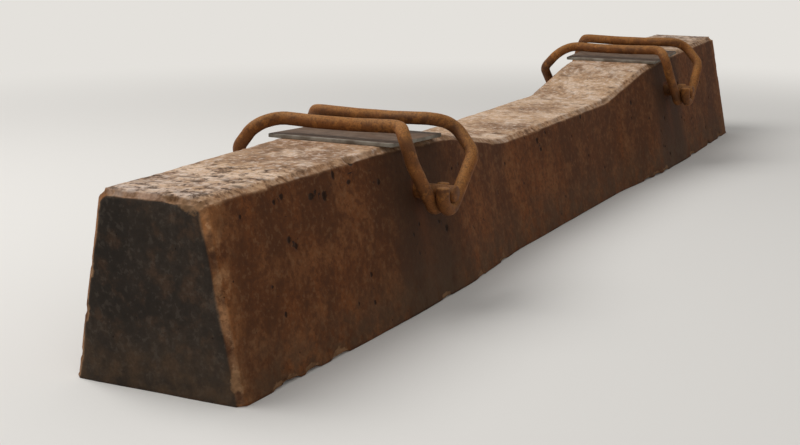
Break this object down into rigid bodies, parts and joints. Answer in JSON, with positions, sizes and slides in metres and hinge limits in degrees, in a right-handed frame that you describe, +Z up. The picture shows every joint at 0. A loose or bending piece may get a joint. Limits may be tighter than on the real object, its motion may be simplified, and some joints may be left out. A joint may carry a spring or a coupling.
{
  "type": "railway sleeper",
  "caption": "Concrete railway sleeper for narrow gauge, lower and narrower in the middle, with rail pads, cross pins and sprung round-bar clips on its canted rail seats.",
  "frame": {"origin": "middle of the flat underside, on the floor", "axes": "+X along the sleeper, from the left rail seat to the right one, +Y across it, along the rails, +Z up"},
  "size_m": [2.057, 0.3022, 0.252],
  "materials": {
    "concrete": "weathered, dusty",
    "pad_plastic": "dusty",
    "clip_steel": "rusted",
    "pin_steel": "rusted"
  },
  "bodies": {
    "root": {"sleeper_body": "concrete", "rail_pad_left": "pad_plastic", "rail_pad_right": "pad_plastic", "cross_pin_left": "pin_steel", "cross_pin_right": "pin_steel", "rail_clip_left_outer": "clip_steel", "rail_clip_left_inner": "clip_steel", "rail_clip_right_outer": "clip_steel", "rail_clip_right_inner": "clip_steel"}
  },
  "joints": []
}
